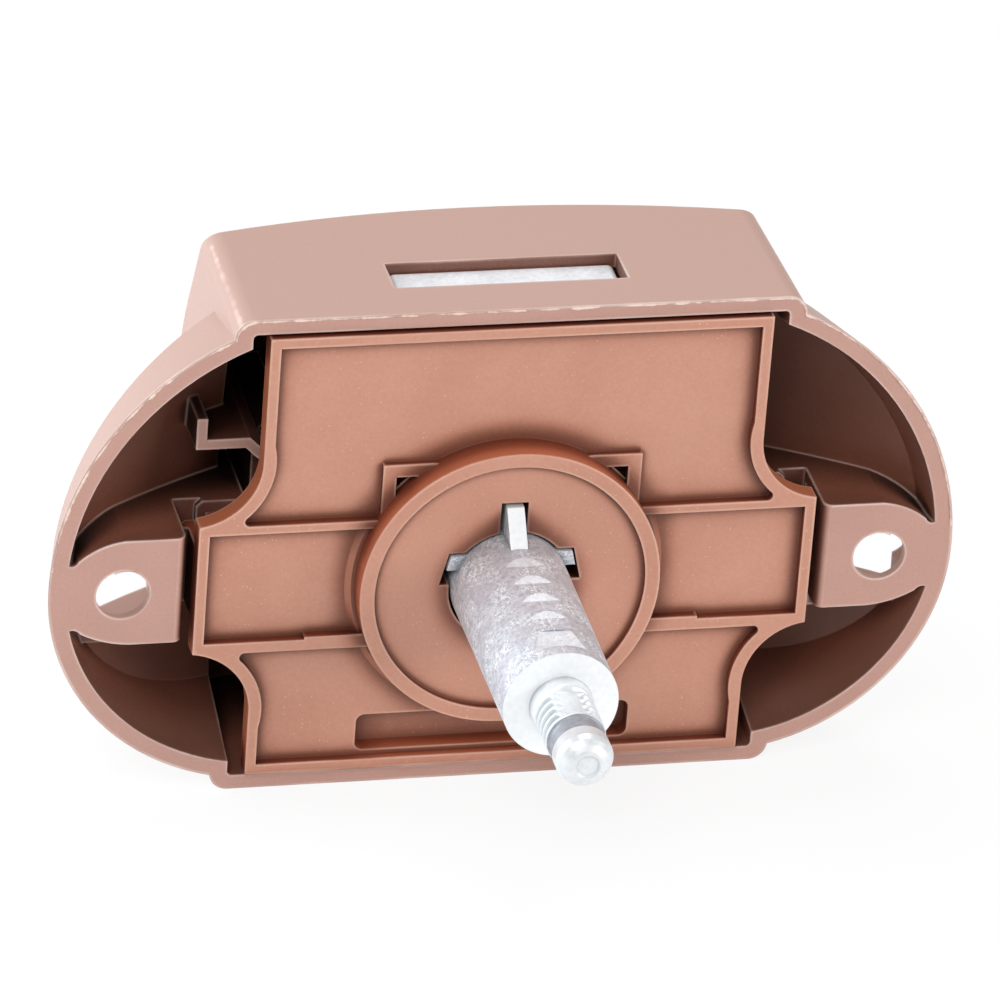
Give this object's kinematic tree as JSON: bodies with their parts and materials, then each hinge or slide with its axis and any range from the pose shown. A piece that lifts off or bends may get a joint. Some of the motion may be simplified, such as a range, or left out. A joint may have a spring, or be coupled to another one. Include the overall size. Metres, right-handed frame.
{
  "type": "push-button lock",
  "caption": "Push-button cabinet lock seen from its door side: oval moulded housing, back plate with round spigot, cast spindle that pushes in and a flat bolt thrown through the top.",
  "frame": {"origin": "midway between the two screw holes, on the rim face that meets the door; the spindle's axis passes through it", "axes": "+X along the lock from one screw hole to the other, +Y from the door into the cabinet, +Z the way the bolt is thrown; the spindle's stub points along -Y"},
  "size_m": [0.077, 0.0578, 0.0444],
  "materials": {
    "brown_plastic": "satin",
    "orange_brown_plastic": "satin",
    "cast_zinc": "satin",
    "acetal": "satin",
    "pin_steel": "satin",
    "plated_zinc": "satin",
    "spring_steel": "satin"
  },
  "bodies": {
    "lock_body": {"housing": "brown_plastic", "back_plate": "orange_brown_plastic", "return_spring": "spring_steel"},
    "spindle_unit": {"spindle": "cast_zinc", "cam_carriage": "acetal", "cross_pin": "pin_steel"},
    "bolt": {"latch_bolt": "plated_zinc"},
    "detent": {"detent_wire": "spring_steel"}
  },
  "joints": [
    {"name": "spindle_push", "type": "slide", "parent": "lock_body", "child": "spindle_unit", "axis": [0, 1, 0], "range_m": [0, 0.008], "stiffness_N_per_m": 350, "springref_m": -0.006, "deforming": ["return_spring"]},
    {"name": "bolt_throw", "type": "slide", "parent": "lock_body", "child": "bolt", "axis": [0, 0, 1], "range_m": [0, 0.008]},
    {"name": "detent_swing", "type": "hinge", "parent": "lock_body", "child": "detent", "pos_m": [-0.0186, 0.0098, 0.0095], "axis": [0, 0, 1], "range_deg": [0, 20]}
  ],
  "couplings": [
    {"joint": "bolt_throw", "follows": "spindle_push", "ratio": 1}
  ]
}
